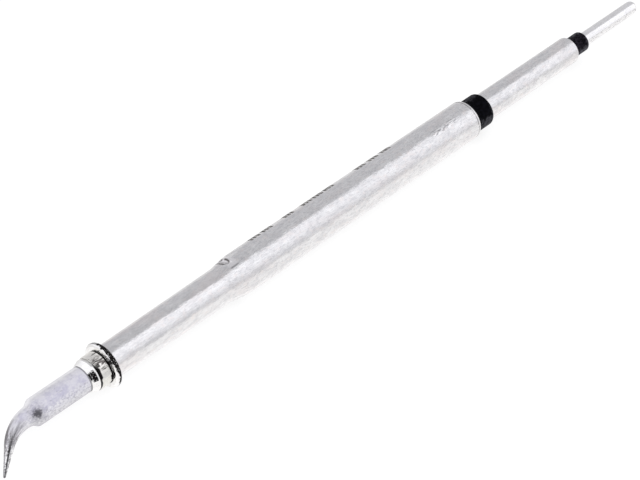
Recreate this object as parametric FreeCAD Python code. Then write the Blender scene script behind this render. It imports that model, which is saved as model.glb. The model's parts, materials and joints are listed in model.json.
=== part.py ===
"""Cartridge soldering tip with a bent conical point, lying on its side.

Millimetres, +Z up. The cartridge's axis is X, and +X points to the rear contact pin. The origin is on the
axis, in the middle of the barrel. Each piece is one solid in parts/NAME.step.
"""

import FreeCAD
import Part

import math
import os

Vector = FreeCAD.Vector
AXIS = Vector(1, 0, 0)

# Tip body: shank, shoulder, bent neck and fine conical point
shank_front = 7.58
shank_rear = 5.5
shoulder_length = 0.52
shoulder_rounding = 0.3
neck_root_diameter = 1.76
neck_root_rounding = 0.22
neck_root_length = 0.12
bend_radius = 3.93
bend_angle = 45.4
bend_end_diameter = 0.89
point_length = 2.6
point_diameter = 0.22

# Outer tube: a slightly tapered front part over the shank, a swaged neck and a straight barrel. The shares in
# this list and the next ones say which part of the barrel's or the shank's diameter a piece takes.
barrel_diameter = 4.0
barrel_length = 31.7
tube_wall_share = 0.075
rear_edge_rounding = 0.28
neck_length = 2.0
neck_blend = 3.0
front_tube_share = 0.8
front_tube_length = 13.9
front_tube_taper = 0.125
shank_tube_clearance = 0.05

# Stakes punched into the neck, each a pocket across it from a round-nosed chisel, with a flat behind it
stake_count = 2
stake_first_angle = 64.0
stake_depth = 0.19
stake_nose_radius = 0.42
stake_place = 1.05
stake_flat_depth = 0.07
stake_flat_length = 2.2

# Collar on the shank: flange, crimped band and bead, with a groove on each side of the band
flange_height = 0.58
flange_thickness = 0.52
flange_front_rounding = 0.3
flange_rear_rounding = 0.2
band_wall = 0.37
band_length = 1.1
band_edge_rounding = 0.06
crimp_count = 6
crimp_depth = 0.07
groove_width = 0.15
groove_depth = 0.2
bead_wall = 0.31
bead_front_wall = 0.06
bead_length = 0.72
bead_rounding = 0.2
tube_recess_depth = 0.2

# Heater in the tip body's rear end: bore, core, coil, sleeve and bush, with shares of the shank's diameter
bore_floor_thickness = 1.63
bore_front_gap = 0.1
core_bore_clearance = 0.03
core_web_share = 0.056
core_wall_share = 0.052
core_front_setback = 0.6
core_overhang = 0.3
coil_wire_share = 0.088
coil_core_gap = 0.01
coil_turns = 9.5
coil_front_setback = 0.35
coil_rear_setback = 1.2
coil_sleeve_gap = 0.05
heater_sleeve_wall_share = 0.06
heater_sleeve_rear_gap = 0.1
heater_sleeve_clearance = 0.02
heater_bush_length = 2.2
heater_bush_clearance = 0.04

# Leads, with shares of the shank's diameter, and their insulating tubes, with shares of the barrel's
heater_wire_share = 0.096
sensor_wire_share = 0.08
heater_bead_share = 0.144
sensor_bead_share = 0.128
lead_straight_behind_core = 0.8
lead_bend_radius = 3.0
lead_tube_front_gap = 0.2
lead_tube_overhang = 0.6
lead_tube_spacing = 0.1
wire_tube_clearance = 0.03
heater_lead_tube_share = 0.225
sensor_lead_tube_share = 0.2
tube_hole_clearance = 0.02

# Spacers and liner inside the tube
spacer_clearance = 0.03
neck_spacer_length = 3.0
neck_spacer_gap = 0.05
liner_tube_clearance = 0.07
sleeve_spacer_gap = 0.2

# Rear contacts, with shares of the barrel's diameter: each piece is held in the bore of the one around it, and
# the sleeve and the pin have a shoulder against the insulator that holds them
contact_sleeve_share = 0.7
pin_share = 0.3575
contact_shoulder = 0.1
front_insulator_inside = 8.0
front_insulator_outside = 2.24
front_insulator_floor = 2.5
front_insulator_rounding = 0.2
contact_sleeve_wall = 0.35
contact_sleeve_outside = 13.86
contact_sleeve_rounding = 0.18
rear_insulator_inside = 7.0
rear_insulator_outside = 2.12
rear_insulator_floor = 1.5
rear_insulator_rounding = 0.16
pin_outside = 8.93
pin_hole_depth = 2.0
sensor_spread_length = 0.8
sensor_bend_radius = 0.6
sensor_weld_length = 1.2

# Stations along the axis, all worked out from the barrel's middle
barrel_front = -barrel_length / 2
barrel_rear = barrel_length / 2
neck_front = barrel_front - neck_length
collar_rear = neck_front - front_tube_length
flange_front = collar_rear - flange_thickness
band_rear = flange_front - groove_width
band_front = band_rear - band_length
bead_rear = band_front - groove_width
bead_front = bead_rear - bead_length
shank_end = collar_rear + shank_rear
shoulder_rear = flange_front - shank_front
neck_root = shoulder_rear - shoulder_length
bend_start = neck_root - neck_root_length
bore_floor = shoulder_rear + bore_floor_thickness
core_front = bore_floor + core_front_setback
core_rear = shank_end + heater_bush_length + core_overhang
coil_front = core_front + coil_front_setback
coil_rear = shank_end - coil_rear_setback
neck_spacer_front = barrel_front + neck_spacer_gap
neck_spacer_rear = neck_spacer_front + neck_spacer_length
lead_tube_front = neck_spacer_front - lead_tube_overhang
front_insulator_front = barrel_rear - front_insulator_inside
front_insulator_rear = barrel_rear + front_insulator_outside
sleeve_front = front_insulator_front + front_insulator_floor
sleeve_rear = front_insulator_rear + contact_sleeve_outside
rear_insulator_front = sleeve_rear - rear_insulator_inside
rear_insulator_rear = sleeve_rear + rear_insulator_outside
pin_front = rear_insulator_front + rear_insulator_floor
pin_rear = rear_insulator_rear + pin_outside
sensor_lead_rear = sleeve_front + sensor_spread_length + sensor_weld_length

# Radii of the sheath and the rear contacts, from the barrel's
barrel_radius = barrel_diameter / 2
tube_wall = barrel_diameter * tube_wall_share
barrel_bore = barrel_radius - tube_wall
front_tube_radius = barrel_radius * front_tube_share
front_tube_bore = front_tube_radius - tube_wall
neck_radius = front_tube_radius + front_tube_taper
flange_radius = front_tube_radius + flange_height
sleeve_radius = barrel_radius * contact_sleeve_share
sleeve_seat = sleeve_radius - contact_shoulder
sleeve_bore = sleeve_radius - contact_sleeve_wall
pin_radius = barrel_radius * pin_share
pin_seat = pin_radius - contact_shoulder

# Radii of the shank and of what sits on it
shank_radius = front_tube_bore - shank_tube_clearance
shank_diameter = shank_radius * 2
band_radius = shank_radius + band_wall
bead_radius = shank_radius + bead_wall

# Diameters of the wires and their tubes
coil_wire_diameter = shank_diameter * coil_wire_share
heater_wire_diameter = shank_diameter * heater_wire_share
sensor_wire_diameter = shank_diameter * sensor_wire_share
heater_bead_diameter = shank_diameter * heater_bead_share
sensor_bead_diameter = shank_diameter * sensor_bead_share
heater_lead_tube_diameter = barrel_diameter * heater_lead_tube_share
sensor_lead_tube_diameter = barrel_diameter * sensor_lead_tube_share

# Radii and heights in the heater and its leads, from the core outwards
core_bore = heater_wire_diameter / 2 + core_bore_clearance
core_bore_height = core_bore + shank_diameter * core_web_share / 2
core_radius = core_bore_height + core_bore + shank_diameter * core_wall_share
coil_radius = core_radius + coil_core_gap + coil_wire_diameter / 2
heater_sleeve_bore = coil_radius + coil_wire_diameter / 2 + coil_sleeve_gap
heater_sleeve_radius = heater_sleeve_bore + shank_diameter * heater_sleeve_wall_share
heater_bore = heater_sleeve_radius + heater_sleeve_clearance
heater_tube_hole = heater_lead_tube_diameter / 2 + tube_hole_clearance
sensor_tube_hole = sensor_lead_tube_diameter / 2 + tube_hole_clearance
sensor_tube_drop = (heater_lead_tube_diameter + sensor_lead_tube_diameter) / 2 + lead_tube_spacing
sensor_weld_drop = sleeve_bore - sensor_wire_diameter / 2
heater_bead_x = core_front - coil_wire_diameter


def point_on(x, height):
    """A point straight above the axis, or below it at a negative height."""
    return Vector(x, 0, height)


def rounded_path(corners, closed):
    """Straight runs through the corners, each (point, rounding), joined by tangent arcs."""
    count = len(corners)
    joins = []
    for i, (here, rounding) in enumerate(corners):
        back = (corners[i - 1][0] - here).normalize()
        onward = (corners[(i + 1) % count][0] - here).normalize()
        half = back.getAngle(onward) / 2
        turns = math.pi / 2 - half > 1e-4
        if rounding == 0 or not turns:
            joins.append((here, None, here))
            continue
        reach = rounding / math.tan(half)
        inward = (back + onward).normalize()
        crown = here + inward * (rounding / math.sin(half) - rounding)
        joins.append((here + back * reach, crown, here + onward * reach))
    edges = []
    for i, (first, crown, last) in enumerate(joins):
        if crown is not None:
            edges.append(Part.Arc(first, crown, last).toShape())
        if i + 1 < count or closed:
            following = joins[(i + 1) % count][0]
            if (following - last).Length > 1e-6:
                edges.append(Part.LineSegment(last, following).toShape())
    return Part.Wire(edges)


def turned(corners):
    """A piece turned about the axis, from corners (x, radius, rounding) going round its section."""
    outline = rounded_path([(point_on(x, radius), rounding) for x, radius, rounding in corners], True)
    return Part.Face(outline).revolve(Vector(0, 0, 0), AXIS, 360)


def rod(front, rear, radius, height=0.0):
    """A cylinder from front to rear along the axis, or beside it at a height."""
    return Part.makeCylinder(radius, rear - front, point_on(front, height), AXIS)


def wire_along(corners, diameter):
    """A round wire along straight runs and arcs, from corners (point, rounding)."""
    route = rounded_path(corners, False)
    start = corners[0][0]
    heading = corners[1][0] - start
    section = Part.Wire(Part.makeCircle(diameter / 2, start, heading))
    return route.makePipeShell([section], True, True)


def bent_point():
    """The conical point: a tapered bend, a straight cone and its round end.

    It bends to one side and down, by the roll that brings its end onto the surface that the flange lies on.
    """
    turn = math.radians(bend_angle)
    centre = Vector(bend_start, -bend_radius, 0)

    def on_bend(angle):
        return centre + Vector(-math.sin(angle), math.cos(angle), 0) * bend_radius

    start = on_bend(0)
    end = on_bend(turn)
    heading = Vector(-math.cos(turn), -math.sin(turn), 0)
    route = Part.Wire(Part.Arc(start, on_bend(turn / 2), end).toShape())
    sections = [
        Part.Wire(Part.makeCircle(neck_root_diameter / 2, start, -AXIS)),
        Part.Wire(Part.makeCircle(bend_end_diameter / 2, end, heading)),
    ]
    bend = route.makePipeShell(sections, True, True)
    cone = Part.makeCone(bend_end_diameter / 2, point_diameter / 2, point_length, end, heading)
    point_end = end + heading * point_length
    ball = Part.makeSphere(point_diameter / 2, point_end)
    point = bend.fuse([cone, ball])
    reach = -point_end.y
    drop = min(flange_radius - point_diameter / 2, reach)
    point.rotate(Vector(0, 0, 0), AXIS, math.degrees(math.asin(drop / reach)))
    return point


def tip_body():
    """Plated shank and shoulder with the bent point, and a blind heater bore from the rear."""
    root_radius = neck_root_diameter / 2
    shank = turned([
        (bend_start, 0, 0),
        (bend_start, root_radius, 0),
        (neck_root, root_radius, neck_root_rounding),
        (shoulder_rear, shank_radius, shoulder_rounding),
        (shank_end, shank_radius, 0),
        (shank_end, heater_bore, 0),
        (bore_floor, heater_bore, 0),
        (bore_floor, 0, 0),
    ])
    return shank.fuse(bent_point())


def front_collar():
    """Bead, crimped band and flange on the shank, with a recess for the tube's front edge."""
    groove_radius = band_radius - groove_depth
    collar = turned([
        (bead_front, shank_radius, 0),
        (bead_front, shank_radius + bead_front_wall, 0),
        (bead_rear - groove_width, bead_radius, bead_rounding),
        (bead_rear, bead_radius, 0),
        (bead_rear, groove_radius, 0),
        (band_front, groove_radius, 0),
        (band_front, band_radius, band_edge_rounding),
        (band_rear, band_radius, band_edge_rounding),
        (band_rear, groove_radius, 0),
        (flange_front, groove_radius, 0),
        (flange_front, flange_radius, flange_front_rounding),
        (collar_rear, flange_radius, flange_rear_rounding),
        (collar_rear, front_tube_radius, 0),
        (collar_rear - tube_recess_depth, front_tube_radius, 0),
        (collar_rear - tube_recess_depth, shank_radius, 0),
    ])
    for i in range(crimp_count):
        jaw = Part.makeBox(band_length, 2 * band_radius, crimp_depth)
        jaw.translate(Vector(band_front, -band_radius, band_radius - crimp_depth))
        jaw.rotate(Vector(0, 0, 0), AXIS, i * 360 / crimp_count)
        collar = collar.cut(jaw)
    return collar


def outer_tube():
    """Tapered front part, swaged neck with its stakes, barrel and rounded rear edge."""
    front_edge = collar_rear - tube_recess_depth
    tube = turned([
        (front_edge, front_tube_bore, 0),
        (front_edge, front_tube_radius, 0),
        (collar_rear, front_tube_radius, 0),
        (neck_front, neck_radius, neck_blend),
        (barrel_front, barrel_radius, neck_blend),
        (barrel_rear, barrel_radius, rear_edge_rounding),
        (barrel_rear, barrel_bore, 0),
        (barrel_front, barrel_bore, neck_blend),
        (neck_front, neck_radius - tube_wall, neck_blend),
        (collar_rear, front_tube_bore, 0),
    ])
    pocket_x = neck_front + stake_place
    surface = neck_radius + (barrel_radius - neck_radius) * stake_place / neck_length
    nose = Vector(pocket_x, -barrel_radius, surface + stake_nose_radius - stake_depth)
    for i in range(stake_count):
        pocket = Part.makeCylinder(stake_nose_radius, barrel_diameter, nose, Vector(0, 1, 0))
        flat = Part.makeBox(stake_flat_length, barrel_diameter, stake_nose_radius)
        flat.translate(Vector(pocket_x, -barrel_radius, barrel_radius - stake_flat_depth))
        for punch in (pocket, flat):
            punch.rotate(Vector(0, 0, 0), AXIS, stake_first_angle - 90 + i * 360 / stake_count)
            tube = tube.cut(punch)
    return tube


def lead_holes(front, rear):
    """Two holes along the axis that let the insulated leads through."""
    heater_hole = rod(front, rear, heater_tube_hole)
    sensor_hole = rod(front, rear, sensor_tube_hole, -sensor_tube_drop)
    return heater_hole.fuse(sensor_hole)


def front_insulator():
    """Black bush in the barrel's rear end: a floor with two lead holes, and a bore for the sleeve."""
    bush = turned([
        (front_insulator_front, 0, 0),
        (front_insulator_front, barrel_bore, 0),
        (front_insulator_rear, barrel_bore, front_insulator_rounding),
        (front_insulator_rear, sleeve_seat, 0),
        (sleeve_front, sleeve_seat, 0),
        (sleeve_front, 0, 0),
    ])
    return bush.cut(lead_holes(front_insulator_front, sleeve_front))


def contact_sleeve():
    """Steel sleeve held in the front insulator, with a shoulder behind it and a rounded rear edge."""
    return turned([
        (sleeve_front, sleeve_bore, 0),
        (sleeve_front, sleeve_seat, 0),
        (front_insulator_rear, sleeve_seat, 0),
        (front_insulator_rear, sleeve_radius, 0),
        (sleeve_rear, sleeve_radius, contact_sleeve_rounding),
        (sleeve_rear, sleeve_bore, 0),
    ])


def rear_insulator():
    """Black bush in the sleeve's rear end: a floor with one lead hole, and a bore for the pin."""
    bush = turned([
        (rear_insulator_front, 0, 0),
        (rear_insulator_front, sleeve_bore, 0),
        (rear_insulator_rear, sleeve_bore, rear_insulator_rounding),
        (rear_insulator_rear, pin_seat, 0),
        (pin_front, pin_seat, 0),
        (pin_front, 0, 0),
    ])
    return bush.cut(rod(rear_insulator_front, pin_front, heater_tube_hole))


def contact_pin():
    """Round-ended pin with a shoulder behind its insulator, and a blind hole in front for the heater lead."""
    dome_centre = pin_rear - pin_radius
    root = rod(pin_front, rear_insulator_rear, pin_seat)
    shaft = rod(rear_insulator_rear, dome_centre, pin_radius)
    dome = Part.makeSphere(pin_radius, point_on(dome_centre, 0))
    hole = rod(pin_front, pin_front + pin_hole_depth, heater_wire_diameter / 2 + wire_tube_clearance)
    return root.fuse([shaft, dome]).cut(hole)


def heater_core():
    """Ceramic rod with two small bores, one for each lead."""
    core = rod(core_front, core_rear, core_radius)
    for height in (core_bore_height, -core_bore_height):
        core = core.cut(rod(core_front, core_rear, core_bore, height))
    return core


def heater_coil():
    """Resistance wire wound on the core, its front tail on the lead's bead, its rear tail on the bore wall."""
    wire_radius = coil_wire_diameter / 2
    length = coil_rear - coil_front
    pitch = length / coil_turns
    helix = Part.makeHelix(pitch, length, coil_radius)
    heading = Vector(0, 2 * math.pi * coil_radius, pitch)
    section = Part.Wire(Part.makeCircle(wire_radius, Vector(coil_radius, 0, 0), heading))
    coil = Part.Wire(helix.Edges).makePipeShell([section], True, True)
    # The helix stands on Z: laid along the axis and turned over, its front end is above the axis
    coil.rotate(Vector(0, 0, 0), Vector(0, 1, 0), 90)
    coil.rotate(Vector(0, 0, 0), AXIS, 180)
    coil.translate(Vector(coil_front, 0, 0))
    bead_top = core_bore_height + heater_bead_diameter / 2
    elbow = Part.makeSphere(wire_radius, point_on(coil_front, coil_radius))
    corner = Part.makeSphere(wire_radius, point_on(heater_bead_x, coil_radius))
    tail = rod(heater_bead_x, coil_front, wire_radius, coil_radius)
    foot = Part.makeCylinder(wire_radius, coil_radius - bead_top, point_on(heater_bead_x, bead_top))
    last_turn = math.radians(360 * (coil_turns % 1))
    outward = Vector(0, -math.sin(last_turn), math.cos(last_turn))
    rear_end = Vector(coil_rear, 0, 0) + outward * coil_radius
    heel = Part.makeSphere(wire_radius, rear_end)
    ground = Part.makeCylinder(wire_radius, heater_bore - coil_radius, rear_end, outward)
    ground = ground.common(rod(coil_front, shank_end, heater_bore))
    return coil.fuse([elbow, tail, corner, foot, heel, ground])


def heater_sleeve():
    """Ceramic tube between the coil and the heater bore, in front of the coil's rear tail."""
    front = bore_floor + bore_front_gap
    rear = coil_rear - coil_wire_diameter / 2 - heater_sleeve_rear_gap
    return rod(front, rear, heater_sleeve_radius).cut(rod(front, rear, heater_sleeve_bore))


def heater_bush():
    """Ceramic bush behind the tip body that centres the core in the tube."""
    rear = shank_end + heater_bush_length
    bush = rod(shank_end, rear, front_tube_bore - heater_bush_clearance)
    return bush.cut(rod(shank_end, rear, core_radius))


def heater_lead():
    """Wire from its bead at the coil's front end, through the core, to the hole in the contact pin."""
    bead_centre = point_on(heater_bead_x, core_bore_height)
    wire = wire_along([
        (bead_centre, 0),
        (point_on(core_rear + lead_straight_behind_core, core_bore_height), lead_bend_radius),
        (point_on(lead_tube_front - lead_tube_front_gap, 0), lead_bend_radius),
        (point_on(pin_front + pin_hole_depth, 0), 0),
    ], heater_wire_diameter)
    return wire.fuse(Part.makeSphere(heater_bead_diameter / 2, bead_centre))


def sensor_lead():
    """Thermocouple wire from its bead on the bore's floor, through the core, to the contact sleeve's wall."""
    bead_centre = point_on(bore_floor + sensor_bead_diameter / 2, -core_bore_height)
    wire = wire_along([
        (bead_centre, 0),
        (point_on(core_rear + lead_straight_behind_core, -core_bore_height), lead_bend_radius),
        (point_on(lead_tube_front - lead_tube_front_gap, -sensor_tube_drop), lead_bend_radius),
        (point_on(sleeve_front, -sensor_tube_drop), sensor_bend_radius),
        (point_on(sleeve_front + sensor_spread_length, -sensor_weld_drop), sensor_bend_radius),
        (point_on(sensor_lead_rear, -sensor_weld_drop), 0),
    ], sensor_wire_diameter)
    return wire.fuse(Part.makeSphere(sensor_bead_diameter / 2, bead_centre))


def heater_lead_tube():
    """Insulating tube of the heater lead, from the tube's neck to the contact pin."""
    bore = heater_wire_diameter / 2 + wire_tube_clearance
    tube = rod(lead_tube_front, pin_front, heater_lead_tube_diameter / 2)
    return tube.cut(rod(lead_tube_front, pin_front, bore))


def sensor_lead_tube():
    """Insulating tube of the sensor lead, from the tube's neck to the contact sleeve."""
    bore = sensor_wire_diameter / 2 + wire_tube_clearance
    tube = rod(lead_tube_front, sleeve_front, sensor_lead_tube_diameter / 2, -sensor_tube_drop)
    return tube.cut(rod(lead_tube_front, sleeve_front, bore, -sensor_tube_drop))


def neck_spacer():
    """Ceramic spacer in the front of the barrel, with a hole for each lead tube."""
    spacer = rod(neck_spacer_front, neck_spacer_rear, barrel_bore - spacer_clearance)
    return spacer.cut(lead_holes(neck_spacer_front, neck_spacer_rear))


def barrel_liner():
    """Insulating tube that lines the barrel from the spacer to the front insulator, around both lead tubes."""
    liner_bore = sensor_tube_drop + sensor_lead_tube_diameter / 2 + liner_tube_clearance
    liner = rod(neck_spacer_rear, front_insulator_front, barrel_bore - spacer_clearance)
    return liner.cut(rod(neck_spacer_rear, front_insulator_front, liner_bore))


def sleeve_spacer():
    """Insulating tube in the contact sleeve, around the heater lead's tube."""
    front = sensor_lead_rear + sleeve_spacer_gap
    spacer = rod(front, rear_insulator_front, sleeve_bore - spacer_clearance)
    return spacer.cut(rod(front, rear_insulator_front, heater_tube_hole))


def one_solid(shape):
    """A piece without the seams that fusing and cutting leave, as its single solid."""
    clean = shape.removeSplitter()
    if len(clean.Solids) == 1:
        return clean.Solids[0]
    return clean


pieces = [
    tip_body,
    front_collar,
    outer_tube,
    front_insulator,
    contact_sleeve,
    rear_insulator,
    contact_pin,
    heater_core,
    heater_coil,
    heater_sleeve,
    heater_bush,
    heater_lead,
    heater_lead_tube,
    sensor_lead,
    sensor_lead_tube,
    neck_spacer,
    barrel_liner,
    sleeve_spacer,
]

os.makedirs("parts", exist_ok=True)
for piece in pieces:
    solid = one_solid(piece())
    solid.exportStep(f"parts/{piece.__name__}.step")
    print(piece.__name__, solid.ShapeType, "valid", solid.isValid(), "volume", round(solid.Volume, 3))
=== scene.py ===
"""Dresses the cartridge soldering tip for its picture.

Metres, in the CAD frame: the cartridge's axis is X and its rear contact pin points along +X. Sizes in the
sections below are millimetres, as the part's drawing has them, and become metres where a mesh is made.
"""

import json
import math

import bmesh
import bpy
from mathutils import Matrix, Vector

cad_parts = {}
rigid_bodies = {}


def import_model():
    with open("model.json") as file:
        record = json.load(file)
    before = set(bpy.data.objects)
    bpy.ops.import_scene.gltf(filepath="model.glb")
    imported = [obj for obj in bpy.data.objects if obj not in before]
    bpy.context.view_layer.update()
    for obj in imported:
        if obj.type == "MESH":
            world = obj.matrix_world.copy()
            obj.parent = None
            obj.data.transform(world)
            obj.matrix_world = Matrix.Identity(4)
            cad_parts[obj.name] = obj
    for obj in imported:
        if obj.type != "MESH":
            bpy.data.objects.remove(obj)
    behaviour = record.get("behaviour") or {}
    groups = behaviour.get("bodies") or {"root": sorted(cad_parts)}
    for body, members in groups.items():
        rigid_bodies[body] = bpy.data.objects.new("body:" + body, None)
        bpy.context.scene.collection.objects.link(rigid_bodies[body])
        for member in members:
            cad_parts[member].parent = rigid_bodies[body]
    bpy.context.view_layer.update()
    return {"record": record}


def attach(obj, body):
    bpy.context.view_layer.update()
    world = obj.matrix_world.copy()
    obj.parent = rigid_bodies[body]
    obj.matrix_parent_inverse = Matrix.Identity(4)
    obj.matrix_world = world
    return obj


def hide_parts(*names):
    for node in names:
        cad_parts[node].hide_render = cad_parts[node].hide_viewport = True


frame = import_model()

# Camera. It looks down at the cartridge from the side of the point, as the photograph was taken. Its place,
# its aim and its lens were fitted to the edges of the tube and to the arcs of the rings.
camera = bpy.data.objects.new("camera", bpy.data.cameras.new("camera"))
bpy.context.scene.collection.objects.link(camera)
bpy.context.scene.camera = camera
camera.location = (-0.11658, -0.10464, 0.12608)
camera.rotation_euler = Vector((0.558129, 0.523468, -0.643796)).to_track_quat("-Z", "Y").to_euler()
camera.data.sensor_fit = "HORIZONTAL"
camera.data.sensor_width = 36
camera.data.lens = 120.94
camera.data.clip_start = 0.005
bpy.context.scene.view_settings.view_transform = "Standard"

# Tip body. One turned and plated piece: a matt shank with a blind heater bore in its rear end, a rounded
# shoulder, and a neck that was bent after turning and tapers to a fine point. The plating is bare and worn
# bright along the cone and tinned at its end, and painted shade darkens a small dent where the bend begins.
shank_end = -26.25
collar_rear = -31.75
flange_front = collar_rear - 0.52
shoulder_rear = flange_front - 7.58
neck_root = shoulder_rear - 0.52
bend_start = neck_root - 0.12
bore_floor = shoulder_rear + 1.63
shank_radius = 1.25
heater_bore_radius = 0.95
neck_root_radius = 0.88
bend_radius = 3.93
bend_angle = math.radians(45.4)
bend_end_radius = 0.445
point_length = 2.6
point_radius = 0.11
flange_radius = 2.18
bead_front = flange_front - 2.12


def section_points(corners):
    """Points in mm along a section, from corners (x, radius, rounding) going round it."""
    points = []
    for i, (x, radius, rounding) in enumerate(corners):
        here = Vector((x, radius))
        back = (Vector(corners[i - 1][:2]) - here).normalized()
        onward = (Vector(corners[(i + 1) % len(corners)][:2]) - here).normalized()
        half = back.angle(onward) / 2
        if rounding == 0 or math.pi / 2 - half < 1e-3:
            points.append(here)
            continue
        centre = here + (back + onward).normalized() * (rounding / math.sin(half))
        first = here + back * (rounding / math.tan(half)) - centre
        last = here + onward * (rounding / math.tan(half)) - centre
        sweep = math.pi - 2 * half
        steps = max(3, math.ceil(sweep / math.radians(9)))
        for k in range(steps + 1):
            share = k / steps
            before = math.sin((1 - share) * sweep) / math.sin(sweep)
            after = math.sin(share * sweep) / math.sin(sweep)
            points.append(centre + first * before + last * after)
    return points


def smooth(mesh):
    """Merges what coincides, points every face outwards and shades smooth, but for edges over 32 degrees."""
    shell = bmesh.new()
    shell.from_mesh(mesh)
    bmesh.ops.remove_doubles(shell, verts=shell.verts, dist=2e-7)
    bmesh.ops.recalc_face_normals(shell, faces=shell.faces)
    shell.to_mesh(mesh)
    shell.free()
    mesh.shade_smooth()
    mesh.set_sharp_from_angle(angle=math.radians(32))


def with_close_points(points, chosen, gap):
    """The points of a section, with more between each pair that is chosen, no further apart than the gap."""
    close = []
    for here, following in zip(points, points[1:]):
        close.append(here)
        if chosen(here, following):
            steps = math.ceil(abs(following.x - here.x) / gap)
            close += [here.lerp(following, step / steps) for step in range(1, steps)]
    return close + points[-1:]


def share_between(value, none, whole):
    """0 at the value for none, 1 at the value for the whole, straight between them and level beyond."""
    return min(1, max(0, (value - none) / (whole - none)))


# The bend lies to the side, turned so far that the tip rests on its point and on the collar's flange.
roll_reach = bend_radius * (1 - math.cos(bend_angle)) + point_length * math.sin(bend_angle)
roll = math.asin((flange_radius - point_radius) / roll_reach)
bend_side = Vector((0, -math.cos(roll), -math.sin(roll)))
across = Vector((1, 0, 0)).cross(bend_side)
heading = bend_side * math.sin(bend_angle) - Vector((math.cos(bend_angle), 0, 0))

# Rings of the tip body from the floor of its bore, round its rear end and forward to the point. Each has its
# centre, the direction in the plane of the bend, its radius and its place along the straightened piece.
close_rings_from = shoulder_rear + 1.75
close_gap = 0.05
bend_rings = 48
point_rings = 20
end_rings = 7


def takes_close_rings(here, following):
    """Whether close rings go between two points: where the first is in front of the limit."""
    return here.x < close_rings_from and abs(following.x - here.x) > close_gap + 0.01


tip_section = section_points([
    (bend_start, 0, 0),
    (bore_floor, 0, 0),
    (bore_floor, heater_bore_radius, 0),
    (shank_end, heater_bore_radius, 0),
    (shank_end, shank_radius, 0),
    (bead_front, shank_radius, 0),
    (bore_floor, shank_radius, 0),
    (shoulder_rear, shank_radius, 0.3),
    (neck_root, neck_root_radius, 0.22),
    (bend_start, neck_root_radius, 0),
])
tip_rings = []
for x, radius in with_close_points(tip_section[1:], takes_close_rings, close_gap):
    tip_rings.append((Vector((x, 0, 0)), bend_side, radius, x))
for k in range(1, bend_rings + 1):
    share = k / bend_rings
    angle = bend_angle * share
    inwards = bend_side * bend_radius * (1 - math.cos(angle))
    centre = Vector((bend_start - bend_radius * math.sin(angle), 0, 0)) + inwards
    side = bend_side * math.cos(angle) + Vector((math.sin(angle), 0, 0))
    radius = neck_root_radius + (bend_end_radius - neck_root_radius) * share
    tip_rings.append((centre, side, radius, bend_start - bend_radius * angle))
bend_end, end_side, _, bend_end_place = tip_rings[-1]
for k in range(1, point_rings + 1):
    share = k / point_rings
    reach = point_length * share
    radius = bend_end_radius + (point_radius - bend_end_radius) * share
    tip_rings.append((bend_end + heading * reach, end_side, radius, bend_end_place - reach))
for k in range(1, end_rings + 1):
    angle = math.pi / 2 * k / end_rings
    reach = point_length + point_radius * math.sin(angle)
    radius = point_radius * math.cos(angle)
    tip_rings.append((bend_end + heading * reach, end_side, radius, bend_end_place - reach))

# The shoulder leans a little, a bit more on one side than on the other, and the dent is pressed beside it.
dent_centre = Vector((-40.06, -0.84, 0.62))
dent_depth = 0.09
dent_reach = 0.34
shoulder_lean = 0.165
lean_difference = 0.035
tip_facets = 128
tip_points = []
tip_straight = []
for centre, side, radius, place in tip_rings:
    lean = share_between(place, shoulder_rear + 0.55, shoulder_rear + 0.10)
    lean *= share_between(place, bend_start - 0.75, bend_start - 0.15) * radius / shank_radius
    for k in range(tip_facets):
        turn = 2 * math.pi * k / tip_facets
        outward = side * math.cos(turn) + across * math.sin(turn)
        spot = centre + outward * radius
        if place < close_rings_from:
            spot.x -= (shoulder_lean - lean_difference * math.cos(turn)) * math.cos(turn) * lean
            spot -= outward * dent_depth * math.exp(-((spot - dent_centre).length / dent_reach) ** 2)
        tip_points.append(spot * 0.001)
        tip_straight.append(Vector((place, math.cos(turn) * radius, math.sin(turn) * radius)))
tip_faces = []
for ring in range(len(tip_rings) - 1):
    for k in range(tip_facets):
        here = ring * tip_facets + k
        beside = ring * tip_facets + (k + 1) % tip_facets
        tip_faces.append((here, beside, beside + tip_facets, here + tip_facets))
tip_mesh = bpy.data.meshes.new("tip_body_bent")
tip_mesh.from_pydata(tip_points, [], tip_faces)
straight = tip_mesh.attributes.new("straight", "FLOAT_VECTOR", "POINT")
straight.data.foreach_set("vector", [number for vector in tip_straight for number in vector])
smooth(tip_mesh)


def towards(degrees):
    """The side of the cartridge's axis that many degrees round from +Y towards +Z."""
    return (0, math.cos(math.radians(degrees)), math.sin(math.radians(degrees)))


class Socket:
    """A node's output that Python's operators work on. Each operator adds its Math node."""

    def __init__(self, nodes, plug):
        self.nodes = nodes
        self.plug = plug

    def __add__(self, other):
        return self.nodes.maths("ADD", self, other)

    __radd__ = __add__

    def __sub__(self, other):
        return self.nodes.maths("SUBTRACT", self, other)

    def __rsub__(self, other):
        return self.nodes.maths("SUBTRACT", other, self)

    def __mul__(self, other):
        return self.nodes.maths("MULTIPLY", self, other)

    __rmul__ = __mul__

    def __truediv__(self, other):
        return self.nodes.maths("DIVIDE", self, other)


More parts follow.
